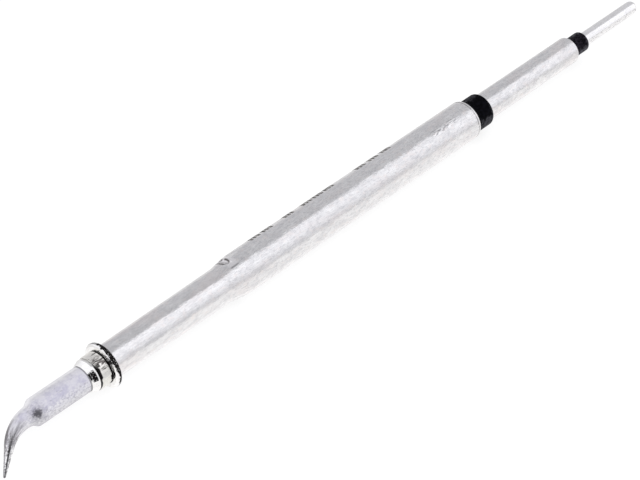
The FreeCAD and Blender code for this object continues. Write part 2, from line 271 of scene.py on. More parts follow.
class Nodes:
    """The nodes of a finish, of the floor or of the studio, added one at a time."""

    def __init__(self, owner):
        owner.use_nodes = True
        self.owner = owner
        self.tree = owner.node_tree
        self.tree.nodes.clear()

    def node(self, kind, settings=None, inputs=None, output=0):
        """Adds a node: its settings, then the values or links of its sockets. Gives one of its outputs."""
        node = self.tree.nodes.new(kind)
        for name, value in (settings or {}).items():
            setattr(node, name, value)
        for name, value in (inputs or {}).items():
            if isinstance(value, Socket):
                self.tree.links.new(value.plug, node.inputs[name])
            else:
                node.inputs[name].default_value = value
        if node.outputs:
            return Socket(self, node.outputs[output])

    def maths(self, operation, *values):
        return self.node("ShaderNodeMath", {"operation": operation}, dict(enumerate(values)))

    def ramp(self, value, low, high):
        """0 at low, 1 at high, and smooth between them."""
        limits = {"Value": value, "From Min": low, "From Max": high}
        return self.node("ShaderNodeMapRange", {"interpolation_type": "SMOOTHSTEP"}, limits)

    def window(self, value, low, high, edge):
        """1 between low and high, and 0 outside them, with soft edges."""
        return self.ramp(value, low - edge, low + edge) * (1 - self.ramp(value, high - edge, high + edge))

    def mixed(self, share, one, other):
        """One colour passing into another."""
        return self.node("ShaderNodeMix", {"data_type": "RGBA"}, {0: share, 6: one, 7: other}, 2)

    def layered(self, colour, *layers):
        """A colour with others laid over it in turn, each given with its share."""
        for share, other in layers:
            colour = self.mixed(share, colour, other)
        return colour

    def place(self):
        """The place on the piece in mm, as a vector."""
        spot = self.node("ShaderNodeTexCoord", output="Object")
        return self.scaled(spot, (1000, 1000, 1000))

    def largest(self, value, *others):
        """The largest of several values."""
        for other in others:
            value = self.maths("MAXIMUM", value, other)
        return value

    def vector_maths(self, operation, one, other=None, output="Vector"):
        inputs = {0: one} if other is None else {0: one, 1: other}
        return self.node("ShaderNodeVectorMath", {"operation": operation}, inputs, output)

    def scaled(self, vector, factors):
        return self.vector_maths("MULTIPLY", vector, factors)

    def stored(self, name, output):
        """What the mesh stores at each point under that name."""
        return self.node("ShaderNodeAttribute", {"attribute_name": name}, output=output)

    def emission(self, colour, strength):
        return self.node("ShaderNodeEmission", inputs={"Color": colour, "Strength": strength})

    def part(self, vector, axis):
        return self.node("ShaderNodeSeparateXYZ", inputs={0: vector}, output=axis)

    def noise(self, vector, factors, detail=3, roughness=0.5):
        """Noise from 0 to 1, with that many waves per mm along each axis."""
        inputs = {"Vector": self.scaled(vector, factors), "Scale": 1.0, "Detail": detail}
        return self.node("ShaderNodeTexNoise", inputs={**inputs, "Roughness": roughness})

    def facing(self, vector, side):
        """1 where a place is on that side of the axis, 0 square to it and -1 on the other side."""
        outward = self.vector_maths("NORMALIZE", self.scaled(vector, (0, 1, 1)))
        return self.vector_maths("DOT_PRODUCT", outward, side, "Value")

    def bump(self, height):
        """Normals for a height in mm."""
        return self.node("ShaderNodeBump", inputs={"Strength": 1.0, "Distance": 0.001, "Height": height})

    def surface(self, inputs):
        shader = self.node("ShaderNodeBsdfPrincipled", inputs=inputs)
        self.node("ShaderNodeOutputMaterial", inputs={"Surface": shader})
        return self.owner


residue_side = (0, -0.21, -0.98)
residue_front = bend_end_place - 0.596
residue_rear = bend_start - 0.91
outer_side = (0, -1, 0.05)


def plating_colour(nodes, spot, clouds, flecks):
    """Matt plating, painted lavender reflection on top, greyer at its sides, flecked, scratched, chipped low
    down, painted highlight on its far edge.
    """
    mottle = nodes.ramp(clouds, 0.32, 0.68)
    lavender = nodes.mixed(mottle, (0.500, 0.490, 0.600, 1), (0.640, 0.632, 0.690, 1))
    greyer = nodes.mixed(mottle, (0.505, 0.500, 0.515, 1), (0.645, 0.640, 0.650, 1))
    # Painted reflection: the plating turns lavender on its top side.
    painted_lavender_reflection = nodes.ramp(nodes.facing(spot, towards(127)), 0.45, 1.10)
    scratches = nodes.ramp(nodes.noise(spot, (2.2, 7, 7), 2, 0.5), 0.66, 0.72)
    # Painted highlight: a pale strip along the far edge of the shank.
    painted_edge_highlight = nodes.ramp(nodes.facing(spot, towards(50)), 0.86, 0.99)
    rubbed = nodes.ramp(nodes.facing(spot, towards(175)) + (clouds - 0.5) * 0.4, 0.78, 0.92)
    chips = nodes.noise(spot, (5, 7, 7), 3, 0.65)
    return nodes.layered(
        nodes.mixed(0.15 + painted_lavender_reflection * 0.85, greyer, lavender),
        (nodes.ramp(flecks, 0.42, 0.70) * 0.5, (0.74, 0.735, 0.75, 1)),
        (scratches * 0.45, (0.27, 0.26, 0.30, 1)),
        (painted_edge_highlight * 0.6, (0.92, 0.92, 0.92, 1)),
        (rubbed * nodes.ramp(chips, 0.46, 0.60) * 0.55, (0.80, 0.80, 0.80, 1)),
        (rubbed * (1 - nodes.ramp(chips, 0.34, 0.42)) * 0.55, (0.30, 0.29, 0.31, 1)),
    )


def bare_colour(nodes, spot, straight_spot, frayed, flecks, streaks, scorched, tinned):
    """The cone's worn metal: streaked, scorched past the bend, tinned at its end, with a line of residue and
    a painted dark reflection along the bend's outer side.
    """
    along = nodes.part(straight_spot, "X")
    specks = nodes.noise(spot, (6, 6, 6), 3, 0.65)
    tin = nodes.mixed(nodes.ramp(specks, 0.43, 0.55), (0.34, 0.33, 0.34, 1), (0.92, 0.92, 0.92, 1))
    point_end = bend_end_place - point_length
    darkened = 1 - nodes.ramp(along, point_end + 0.1, point_end + 0.9)
    residue = nodes.ramp(nodes.facing(straight_spot, residue_side) + (flecks - 0.5) * 0.10, 0.945, 0.985)
    residue = residue * (1 - nodes.ramp(frayed, residue_front, residue_rear - 0.6) * 0.85)
    residue = residue * (1 - nodes.ramp(frayed, residue_rear, residue_rear + 0.6))
    # Painted reflection: a dark strip along the outer side of the bend.
    edge = nodes.ramp(nodes.facing(straight_spot, outer_side) + (flecks - 0.5) * 0.2, 0.72, 0.92)
    return nodes.layered(
        nodes.mixed(nodes.ramp(streaks, 0.36, 0.66), (0.46, 0.45, 0.48, 1), (0.82, 0.82, 0.84, 1)),
        (scorched * nodes.ramp(specks, 0.40, 0.52) * 0.60, (0.15, 0.14, 0.145, 1)),
        (tinned, tin),
        (darkened * 0.6, (0.12, 0.115, 0.12, 1)),
        (residue * 0.85, (0.07, 0.067, 0.07, 1)),
        (scorched * nodes.ramp(specks, 0.57, 0.64) * 0.6, (0.80, 0.79, 0.80, 1)),
        (edge * 0.60, (0.14, 0.135, 0.14, 1)),
    )


def plated_tip_finish():
    """Plating on the shank, worn through to bare metal along the cone, with painted shade in the dent between
    them.
    """
    nodes = Nodes(bpy.data.materials.new("plated_tip"))
    spot = nodes.place()
    straight_spot = nodes.stored("straight", "Vector")
    along = nodes.part(straight_spot, "X")
    clouds = nodes.noise(spot, (1.3, 1.3, 1.3), 4, 0.6)
    flecks = nodes.noise(spot, (4, 6, 6), 3, 0.65)
    streaks = nodes.noise(straight_spot, (0.45, 4.5, 4.5), 3, 0.6)
    frayed = along + (streaks - 0.5) * 2.2 + (flecks - 0.5) * 1.2
    cone = 1 - nodes.ramp(frayed, neck_root - 2.2, neck_root - 0.7)
    scorched = nodes.window(frayed, bend_end_place - 0.05, bend_end_place + 0.9, 0.25)
    tinned = 1 - nodes.ramp(frayed, bend_end_place - 0.45, bend_end_place - 0.05)
    rim = nodes.window(along, bead_front - 0.10, bead_front + 0.04, 0.05)
    from_dent = nodes.vector_maths("DISTANCE", spot, tuple(dent_centre), "Value")
    # A dark spot and a fainter halo round the dent: painted shade in the dent.
    dent_painted_halo = 1 - nodes.ramp(from_dent + (flecks - 0.5) * 1.2, 0.30, 1.15)
    dent_painted_shade = 1 - nodes.ramp(from_dent + (flecks - 0.5) * 0.8, 0.17, 0.60)
    colour = nodes.layered(
        plating_colour(nodes, spot, clouds, flecks),
        (cone, bare_colour(nodes, spot, straight_spot, frayed, flecks, streaks, scorched, tinned)),
        (rim * 0.7, (0.10, 0.10, 0.11, 1)),
        (dent_painted_halo * 0.35, (0.16, 0.155, 0.17, 1)),
        (dent_painted_shade * 0.92, (0.045, 0.043, 0.052, 1)),
    )
    bare_roughness = 0.26 + streaks * 0.10 - tinned * 0.14 + scorched * 0.2
    return nodes.surface({
        "Base Color": colour,
        "Metallic": 0.3 + cone * 0.7 - dent_painted_shade * 0.3,
        "Roughness": (0.56 + flecks * 0.16) * (1 - cone) + cone * bare_roughness,
        "Normal": nodes.bump((flecks * 0.010 + clouds * 0.02) * (1 - cone) + streaks * cone * 0.012),
    })


tip = bpy.data.objects.new("tip_body_bent", tip_mesh)
bpy.context.scene.collection.objects.link(tip)
tip_mesh.materials.append(plated_tip_finish())
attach(tip, "root")
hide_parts("tip_body")

# Collar. One turned and brightly plated piece pressed on the shank: a bead, a groove, a band crimped by six
# jaws that left flats and lengthwise marks on it, a second groove, and a flange that takes the tube's edge.
band_rear = flange_front - 0.15
band_front = band_rear - 1.1
bead_rear = band_front - 0.15
band_radius = 1.62
bead_radius = 1.56
groove_floor = 1.42
crimp_flats = 6
crimp_depth = 0.07
collar_facets = 240
tube_seat = 0.2
front_tube_radius = 1.6


def new_tree(name, taken, made):
    """A tree of geometry nodes with its named inputs and its output, and the nodes that stand for them."""
    tree = bpy.data.node_groups.new(name, "GeometryNodeTree")
    for input_name, kind in taken:
        tree.interface.new_socket(input_name, in_out="INPUT", socket_type="NodeSocket" + kind)
    tree.interface.new_socket(made, in_out="OUTPUT", socket_type="NodeSocketGeometry")
    return tree, tree.nodes.new("NodeGroupInput"), tree.nodes.new("NodeGroupOutput")


def turning_tree():
    """Geometry nodes that turn a section drawn as edges round the axis."""
    taken = (("Section", "Geometry"), ("Facets", "Int"), ("Lathe Radius", "Float"), ("Finish", "Material"))
    tree, asked, given = new_tree("turned_piece", taken, "Piece")
    section = tree.nodes.new("GeometryNodeMeshToCurve")
    circle = tree.nodes.new("GeometryNodeCurvePrimitiveCircle")
    upright = tree.nodes.new("GeometryNodeSetCurveNormal")
    upright.mode = "Z_UP"
    sweep = tree.nodes.new("GeometryNodeCurveToMesh")
    lay = tree.nodes.new("GeometryNodeTransform")
    lay.inputs["Rotation"].default_value = (0, -math.pi / 2, 0)
    realize = tree.nodes.new("GeometryNodeRealizeInstances")
    paint = tree.nodes.new("GeometryNodeSetMaterial")
    for start, out, end, into in (
        (asked, "Section", section, "Mesh"),
        (asked, "Facets", circle, "Resolution"),
        (asked, "Lathe Radius", circle, "Radius"),
        (circle, "Curve", upright, "Curve"),
        (upright, "Curve", sweep, "Curve"),
        (section, "Curve", sweep, "Profile Curve"),
        (sweep, "Mesh", lay, "Geometry"),
        (lay, "Geometry", realize, "Geometry"),
        (realize, "Geometry", paint, "Geometry"),
        (asked, "Finish", paint, "Material"),
        (paint, "Geometry", given, "Piece"),
    ):
        tree.links.new(start.outputs[out], end.inputs[into])
    return tree


turned_piece = turning_tree()


def built_by(tree, source, values):
    """The mesh that a tree of geometry nodes makes from a source object, with its named inputs set first."""
    modifier = source.modifiers.new("build", "NODES")
    modifier.node_group = tree
    for item in tree.interface.items_tree:
        if item.in_out == "INPUT" and item.name in values:
            modifier[item.identifier] = values[item.name]
    bpy.context.view_layer.update()
    made = bpy.data.meshes.new_from_object(source.evaluated_get(bpy.context.evaluated_depsgraph_get()))
    source.modifiers.remove(modifier)
    return made


def turned(name, points, finish, facets=128, closed=True):
    """A piece turned about the axis from the points of its section, in mm."""
    lathe_radius = 1.0
    rim = [((radius - lathe_radius) * 0.001, x * 0.001, 0) for x, radius in points]
    count = len(rim)
    edges = [(k, (k + 1) % count) for k in range(count if closed else count - 1)]
    drawing = bpy.data.meshes.new(name + "_section")
    drawing.from_pydata(rim, edges, [])
    piece = bpy.data.objects.new(name, drawing)
    bpy.context.scene.collection.objects.link(piece)
    values = {"Facets": facets, "Lathe Radius": lathe_radius * 0.001, "Finish": finish}
    piece.data = built_by(turned_piece, piece, values)
    smooth(piece.data)
    return piece


def crimped_band_colour(nodes, spot, scores, ragged, fine):
    """Beige plating scored lengthwise by the jaws, browned on top and paler low down."""
    scored = nodes.ramp(scores + ragged * 0.3, 0.36, 0.46)
    browned = nodes.ramp(nodes.facing(spot, towards(114)) + ragged * 0.2, 0.89, 0.97)
    lines = 1 - nodes.ramp(scores + ragged * 0.5, 0.49, 0.56)
    pale = nodes.mixed(nodes.ramp(fine, 0.3, 0.7), (0.76, 0.75, 0.71, 1), (0.88, 0.88, 0.84, 1))
    low_side = nodes.ramp(nodes.facing(spot, towards(185)) + ragged * 0.3, 0.76, 0.90)
    return nodes.layered(
        nodes.mixed(scored, (0.06, 0.055, 0.05, 1), (0.96, 0.945, 0.90, 1)),
        (browned * lines * 0.8, (0.06, 0.045, 0.045, 1)),
        (low_side * 0.9, pale),
    )


def groove_painted_shade(nodes, spot, along, distance, ragged, fine):
    """Painted shade in both grooves, black, reaching out onto the band on one side and widest low in the rear
    groove.
    """
    wider_side = nodes.ramp(nodes.facing(spot, towards(146)) + ragged * 0.08, 0.930, 0.968)
    fainter_top = nodes.ramp(nodes.facing(spot, towards(70)), 0.64, 0.85)
    front_end = band_front + 0.02 + wider_side * 0.18
    front_groove = nodes.window(along + ragged * 0.4, bead_rear + 0.02, front_end, 0.03)
    front_groove = front_groove * (1 - fainter_top * 0.75)
    onto_band = nodes.ramp(nodes.facing(spot, towards(122)) + ragged * 0.02, 0.991, 0.998)
    onto_band = onto_band * nodes.window(along + ragged * 0.3, band_front, band_front + 0.42, 0.04)
    deeper_low = nodes.ramp(nodes.facing(spot, towards(180)) + ragged * 0.05, 0.975, 0.992)
    rear_from = band_rear + 0.02 - deeper_low * 0.16 - (fine - 0.5) * 0.3
    on_face = nodes.ramp(along, flange_front - 0.04, flange_front - 0.01)
    above_band = nodes.ramp(distance + ragged * 0.3, band_radius - 0.05, band_radius + 0.02)
    rear_groove = nodes.window(along, rear_from, flange_front + 0.04, 0.02) * (1 - on_face * above_band)
    in_groove = 1 - nodes.ramp(distance, band_radius + 0.02, band_radius + 0.10)
    return nodes.largest(front_groove, onto_band * 0.9, rear_groove) * in_groove


def flange_painted_reflection(nodes, spot, along, distance, ragged, fine):
    """A painted dark reflection round the flange's rim, with a thin dark outline above and a dark bridge from
    the rear groove.
    """
    bridge = nodes.ramp(nodes.facing(spot, towards(134)) + ragged * 0.03, 0.988, 0.996)
    bridge = bridge * nodes.window(along, band_rear, collar_rear - 0.2, 0.03) * nodes.ramp(fine, 0.38, 0.43)
    thick = nodes.ramp(nodes.facing(spot, towards(128)), 0.70, 0.84)
    rim_from = flange_front + 0.20 - thick * 0.12
    rim = nodes.window(along + ragged * 1.0, rim_from, collar_rear - 0.02, 0.02)
    rim = rim * nodes.ramp(nodes.facing(spot, towards(146)), 0.18, 0.34)
    rim = rim * nodes.ramp(distance, flange_radius - 0.18, flange_radius - 0.12)
    rim = rim * nodes.ramp(fine, 0.34, 0.39)
    outline = nodes.ramp(distance, flange_radius - 0.06, flange_radius - 0.02) * nodes.ramp(fine, 0.40, 0.50)
    outline = outline * nodes.ramp(nodes.facing(spot, towards(50)), 0.60, 0.80) * 0.8
    return nodes.largest(rim, bridge, outline)


def bead_painted_reflection(nodes, spot, along, ragged, fine):
    """A painted dark reflection on the bead, black, low towards the front, with light specks in it."""
    bead_dark_reflection = nodes.ramp(nodes.facing(spot, towards(145)) + ragged * 0.06, 0.942, 0.956)
    bead_dark_reflection = bead_dark_reflection * nodes.window(along + ragged * 0.25, bead_rear - 0.56, bead_rear - 0.13, 0.03)
    return bead_dark_reflection * (1 - nodes.ramp(fine, 0.61, 0.66))


def polished_plate_finish():
    """Bright plating, with a scored beige band, painted dark reflections on the flange rim and the bead, and
    painted shade in the grooves.
    """
    nodes = Nodes(bpy.data.materials.new("polished_plate"))
    spot = nodes.place()
    along = nodes.part(spot, "X")
    distance = nodes.vector_maths("LENGTH", nodes.scaled(spot, (0, 1, 1)), output="Value")
    ragged = (nodes.noise(spot, (4, 4, 4), 3, 0.6) - 0.5) * 0.30
    fine = nodes.noise(spot, (9, 9, 9), 3, 0.6)
    wear = nodes.noise(spot, (3, 3, 3), 3, 0.6)
    scores = nodes.noise(spot, (1.2, 5.5, 5.5), 4, 0.62)
    band = nodes.window(along, band_front, band_rear, 0.04)
    plate = nodes.mixed(nodes.ramp(wear, 0.4, 0.8), (0.95, 0.95, 0.94, 1), (0.86, 0.85, 0.83, 1))
    beige = crimped_band_colour(nodes, spot, scores, ragged, fine)
    # The grooves' black is painted shade; the flange rim's and the bead's black are painted dark reflections.
    groove_shade = groove_painted_shade(nodes, spot, along, distance, ragged, fine)
    flange_reflection_dark = flange_painted_reflection(nodes, spot, along, distance, ragged, fine)
    bead_dark_reflection = bead_painted_reflection(nodes, spot, along, ragged, fine)
    pits = nodes.ramp(fine, 0.68, 0.73) * (1 - band) * 0.7
    dark = nodes.largest(groove_shade, flange_reflection_dark, bead_dark_reflection, pits)
    dust = nodes.ramp(fine, 0.60, 0.66) * (1 - band)
    relief = scores * band * 0.02 + wear * 0.006 + fine * 0.005 + ragged * (1 - band) * 0.06
    return nodes.surface({
        "Base Color": nodes.layered(plate, (band, beige), (dark, (0.007, 0.006, 0.006, 1))),
        "Specular IOR Level": 0.05,
        "Metallic": (1 - dark) * (1 - dust),
        "Roughness": 0.05 + wear * 0.06 + band * (0.16 + scores * 0.12) + dark * 0.1,
        "Normal": nodes.bump(relief),
    })


collar = turned("front_collar_plated", section_points([
    (bead_front, shank_radius, 0),
    (bead_front, shank_radius + 0.06, 0),
    (bead_rear - 0.15, bead_radius, 0.2),
    (bead_rear, bead_radius, 0),
    (bead_rear, groove_floor, 0),
    (band_front, groove_floor, 0),
    (band_front, band_radius, 0.06),
    (band_rear, band_radius, 0.06),
    (band_rear, groove_floor, 0),
    (flange_front, groove_floor, 0),
    (flange_front, flange_radius, 0.3),
    (collar_rear, flange_radius, 0.2),
    (collar_rear, front_tube_radius, 0),
    (collar_rear - tube_seat, front_tube_radius, 0),
    (collar_rear - tube_seat, shank_radius, 0),
]), polished_plate_finish(), collar_facets)
flat_spacing = 2 * math.pi / crimp_flats
for vertex in collar.data.vertices:
    x, y, z = vertex.co * 1000
    if band_front - 0.01 < x < band_rear + 0.01:
        turn = math.atan2(y, z)
        flat = round(turn / flat_spacing) * flat_spacing
        limit = (band_radius - crimp_depth) / math.cos(turn - flat)
        radius = math.hypot(y, z)
        if radius > limit:
            vertex.co.y *= limit / radius
            vertex.co.z *= limit / radius
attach(collar, "root")
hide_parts("front_collar")

# Outer tube. Drawn stainless tube, swaged from a slim front part to the barrel and satin finished along its
# length. Two stakes are punched into opposite sides of the neck, each a pocket with a flat behind it, and the
# rear edge is rolled.
neck_front = -17.85
barrel_front = -15.85
barrel_rear = 15.85
barrel_radius = 2.0
barrel_bore = 1.7
front_tube_bore = 1.3
neck_radius = 1.725
tube_wall = 0.3
pocket_x = neck_front + 1.05
pocket_radius = 0.42
pocket_depth = 0.19
stake_flat_length = 2.2
stake_flat_depth = 0.07
stake_side = 64
stake_angles = [math.radians(stake_side), math.radians(stake_side + 180)]
lowest_punched = 1.2
lip_height = 0.022
lip_distance = 0.38
lip_width = 0.07
nicks_front = 9.8
nicks_rear = 13.2
nicks_side = 113
blend_radius = 3.0
close_points_front = neck_front - 0.75
close_points_rear = barrel_front + 2.25
close_points_gap = 0.06
tube_facets = 224


def satin_steel_finish(name, seams):
    """Satin stainless steel: lengthwise grain, faint clouding, soft ripples, scuffs, dark seams, and a
    painted highlight and painted shade beside the stakes.
    """
    nodes = Nodes(bpy.data.materials.new(name))
    spot = nodes.place()
    along = nodes.part(spot, "X")
    grain = nodes.noise(spot, (0.5, 11, 11), 4, 0.65)
    pits = nodes.noise(spot, (2.6, 5.5, 5.5), 4, 0.68)
    clouds = nodes.noise(spot, (0.9, 1.8, 1.8), 4, 0.6)
    ripples = nodes.noise(spot, (0.35, 0.5, 0.5), 2, 0.5)
    warm = nodes.noise(spot, (0.28, 0.8, 0.8), 3, 0.5)
    scuffs = nodes.ramp(nodes.noise(spot, (1.4, 6, 6), 3, 0.6), 0.60, 0.70)
    tinge = nodes.noise(spot, (1.6, 2.6, 2.6), 3, 0.6)
    swaged = 1 - nodes.ramp(along, neck_front - 1.0, neck_front)
    steel = nodes.layered(
        nodes.mixed(nodes.ramp(clouds, 0.3, 0.7), (0.80, 0.80, 0.81, 1), (0.97, 0.97, 0.97, 1)),
        (nodes.ramp(grain, 0.3, 0.7) * 0.35, (0.69, 0.69, 0.70, 1)),
        (nodes.ramp(warm, 0.48, 0.72) * 0.5, (0.88, 0.83, 0.82, 1)),
        (nodes.ramp(pits, 0.46, 0.66) * (0.60 - swaged * 0.25), (0.60, 0.60, 0.62, 1)),
        (nodes.ramp(tinge, 0.52, 0.68) * 0.6, (0.90, 0.85, 0.83, 1)),
        (scuffs * 0.30, (0.46, 0.45, 0.47, 1)),
    )
    for seam in seams:
        line = nodes.window(along + (pits - 0.5) * 0.15, seam - 0.06, seam + 0.06, 0.04)
        steel = nodes.mixed(line * nodes.ramp(pits, 0.25, 0.60) * 0.75, steel, (0.10, 0.095, 0.10, 1))
    nicked = nodes.window(along, nicks_front, nicks_rear, 0.3)
    nicked = nicked * nodes.ramp(nodes.facing(spot, towards(nicks_side)), 0.984, 0.993)
    nicks = nodes.noise(spot, (2.2, 7, 7), 2, 0.5)
    near_stake = nodes.facing(spot, towards(stake_side)) + (clouds - 0.5) * 0.03
    beside_stake = nodes.window(along, pocket_x - 0.25, pocket_x + 0.70, 0.18)
    # Painted highlight on the flat behind each stake, and painted shade along its edge.
    painted_flat_highlight = beside_stake * nodes.ramp(near_stake, 0.76, 0.82)
    shaded_edge = beside_stake * nodes.window(near_stake, 0.715, 0.765, 0.03)
    punched = nodes.stored("punched", "Fac")
    steel = nodes.layered(
        steel,
        (nicked * nodes.ramp(nicks, 0.54, 0.60) * 0.6, (0.24, 0.235, 0.25, 1)),
        (nicked * (1 - nodes.ramp(nicks, 0.40, 0.46)) * 0.9, (1, 1, 1, 1)),
        (painted_flat_highlight * 0.7, (1.0, 0.985, 1.0, 1)),
        (shaded_edge * 0.70, (0.20, 0.20, 0.21, 1)),
        (punched * nodes.ramp(pits, 0.26, 0.42), (0.030, 0.024, 0.022, 1)),
    )
    return nodes.surface({
        "Base Color": steel,
        "Metallic": 1.0,
        "Roughness": 0.17 + grain * 0.10 + scuffs * 0.1 - swaged * 0.05,
        "Normal": nodes.bump(grain * 0.006 + pits * 0.006 + clouds * 0.03 + ripples * 0.07),
    })


tube_steel = satin_steel_finish("tube_steel", [collar_rear, barrel_rear - 0.38])


def outer_radius(x):
    """The tube's outer radius at a place on the front part or in the neck, before its bends are blended."""
    if x < neck_front:
        share = (x - collar_rear) / (neck_front - collar_rear)
        return front_tube_radius + (neck_radius - front_tube_radius) * share
    return neck_radius + (barrel_radius - neck_radius) * (x - neck_front) / (barrel_front - neck_front)


def near_stakes(here, following):
    """Whether two points of the tube's section are on its outside, near the stakes."""
    outside = following.x > here.x and min(here.y, following.y) > front_tube_radius + 0.05
    return outside and here.x < close_points_rear and following.x > close_points_front


tube_section = section_points([
    (collar_rear - tube_seat, front_tube_bore, 0),
    (collar_rear - tube_seat, front_tube_radius, 0),
    (collar_rear, front_tube_radius, 0),
    *[(x, outer_radius(x), 0) for x in (-27.0, -22.0)],
    (neck_front, neck_radius, blend_radius),
    (barrel_front, barrel_radius, blend_radius),
    *[(x, barrel_radius, 0) for x in (-8.0, 0.0, 8.0)],
    (barrel_rear, barrel_radius, 0.28),
    (barrel_rear, barrel_bore, 0),
    (barrel_front, barrel_bore, blend_radius),
    (neck_front, neck_radius - tube_wall, blend_radius),
    (collar_rear, front_tube_bore, 0),
])
tube_section = with_close_points(tube_section, near_stakes, close_points_gap)
tube = turned("outer_tube_swaged", tube_section, tube_steel, tube_facets)
stake_radius = outer_radius(pocket_x)
pocket_length = math.sqrt(pocket_radius ** 2 - (pocket_radius - pocket_depth) ** 2)
pocket_width = math.sqrt(stake_radius ** 2 - (stake_radius - pocket_depth) ** 2)


def stake_height(x, height):
    """How far from the axis the punch leaves a place whose height was given: flat, pocket or lip."""
    lowered = height
    if pocket_x < x < pocket_x + stake_flat_length:
        fading = (x - pocket_x) / stake_flat_length
        lowered = min(lowered, barrel_radius - stake_flat_depth * (1 - fading ** 2))
    reach = pocket_radius ** 2 - (x - pocket_x) ** 2
    if reach > 0:
        lowered = min(lowered, stake_radius + pocket_radius - pocket_depth - math.sqrt(reach))
    if lowered == height and height > stake_radius - pocket_depth:
        lowered += lip_height * math.exp(-((abs(x - pocket_x) - lip_distance) / lip_width) ** 2)
    return lowered


def stake_mark(behind, sideways):
    """How dark a place round a stake is painted, given in pocket lengths and widths: two arcs and a dull
    floor.
    """
    outward = math.hypot(behind, sideways)
    floor_mark = 0.25 if outward < 0.8 else 0
    if behind > 0:
        arc = math.exp(-((outward - 1) / 0.22) ** 2) * share_between(abs(sideways), 0.98, 0.73)
        burred = -0.45 < sideways < -0.15
        return max(floor_mark, arc * (0.45 if burred else 1))
    arc = math.exp(-((outward - 1.1) / 0.26) ** 2) * share_between(abs(sideways), 0.85, 0.55)
    return max(floor_mark, arc)


punch_marks = tube.data.attributes.new("punched", "FLOAT", "POINT")
for vertex in tube.data.vertices:
    x, y, z = vertex.co * 1000
    inside = math.hypot(y, z) < front_tube_radius
    if inside or not pocket_x - 1 < x < pocket_x + stake_flat_length + 0.1:
        continue
    mark = 0
    for angle in stake_angles:
        height = y * math.cos(angle) + z * math.sin(angle)
        if height < lowest_punched:
            continue
        sideways = (z * math.cos(angle) - y * math.sin(angle)) / pocket_width
        mark = max(mark, stake_mark((x - pocket_x) / pocket_length, sideways))
        raised = (stake_height(x, height) - height) * 0.001
        vertex.co.y += raised * math.cos(angle)
        vertex.co.z += raised * math.sin(angle)
    punch_marks.data[vertex.index].value = mark
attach(tube, "root")
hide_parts("outer_tube")

# Scale marks. Plain dark ticks on the barrel's far side, in groups of three. They are a thin dark layer that
# follows the round of the steel.
tick_width = 0.31
tick_pitch = 0.45
tick_height = 1.5
tick_side = math.radians(44)
tick_groups = [-12.5, -10.9, -8.1, -5.7, -4.25, -2.75, 1.6, 3.35, 5.1]
ticks_in_group = 3
layer_thickness = 0.006


def tick_tree():
    """Geometry nodes that set groups of flat ticks at a source's points and wrap them round the barrel."""
    taken = (
        ("Groups", "Geometry"), ("Ticks", "Int"), ("Pitch", "Float"), ("Width", "Float"),
        ("Height", "Float"), ("Barrel Radius", "Float"), ("Side", "Float"), ("Finish", "Material"),
    )
    tree, asked, given = new_tree("scale_marks", taken, "Marks")

    def link(start, out, end, into):
        tree.links.new(start.outputs[out], end.inputs[into])

    def maths(operation, first, second=None):
        node = tree.nodes.new("ShaderNodeMath")
        node.operation = operation
        tree.links.new(first, node.inputs[0])
        if second is not None:
            tree.links.new(second, node.inputs[1])
        return node.outputs[0]

    plate = tree.nodes.new("GeometryNodeMeshGrid")
    plate.inputs["Vertices X"].default_value = 2
    plate.inputs["Vertices Y"].default_value = 17
    link(asked, "Width", plate, "Size X")
    link(asked, "Height", plate, "Size Y")
    row = tree.nodes.new("GeometryNodeMeshLine")
    step = tree.nodes.new("ShaderNodeCombineXYZ")
    link(asked, "Pitch", step, "X")
    link(asked, "Ticks", row, "Count")
    link(step, "Vector", row, "Offset")
    one_group = tree.nodes.new("GeometryNodeInstanceOnPoints")
    link(row, "Mesh", one_group, "Points")
    link(plate, "Mesh", one_group, "Instance")
    all_groups = tree.nodes.new("GeometryNodeInstanceOnPoints")
    link(asked, "Groups", all_groups, "Points")
    link(one_group, "Instances", all_groups, "Instance")
    realize = tree.nodes.new("GeometryNodeRealizeInstances")
    link(all_groups, "Instances", realize, "Geometry")
    spot = tree.nodes.new("GeometryNodeInputPosition")
    parts = tree.nodes.new("ShaderNodeSeparateXYZ")
    link(spot, "Position", parts, "Vector")
    turn = maths("DIVIDE", parts.outputs["Y"], asked.outputs["Barrel Radius"])
    turn = maths("ADD", turn, asked.outputs["Side"])
    wrapped = tree.nodes.new("ShaderNodeCombineXYZ")
    tree.links.new(parts.outputs["X"], wrapped.inputs["X"])
    for axis, operation in (("Y", "COSINE"), ("Z", "SINE")):
        reach = maths("MULTIPLY", maths(operation, turn), asked.outputs["Barrel Radius"])
        tree.links.new(reach, wrapped.inputs[axis])
    wrap = tree.nodes.new("GeometryNodeSetPosition")
    link(realize, "Geometry", wrap, "Geometry")
    link(wrapped, "Vector", wrap, "Position")
    paint = tree.nodes.new("GeometryNodeSetMaterial")
    link(wrap, "Geometry", paint, "Geometry")
    link(asked, "Finish", paint, "Material")
    link(paint, "Geometry", given, "Marks")
    return tree


def marking_finish():
    """A dark marked layer, thinner and greyer in places."""
    nodes = Nodes(bpy.data.materials.new("scale_marking"))
    spot = nodes.place()
    thin = nodes.noise(spot, (3, 3, 3), 3, 0.6)
    colour = nodes.mixed(nodes.ramp(thin, 0.35, 0.65), (0.05, 0.046, 0.042, 1), (0.26, 0.25, 0.235, 1))
    return nodes.surface({
        "Base Color": colour,
        "Metallic": 0.0,
        "Specular IOR Level": 0.03,
        "Roughness": 0.6 + thin * 0.2,
        "Normal": nodes.bump(thin * 0.004),
    })


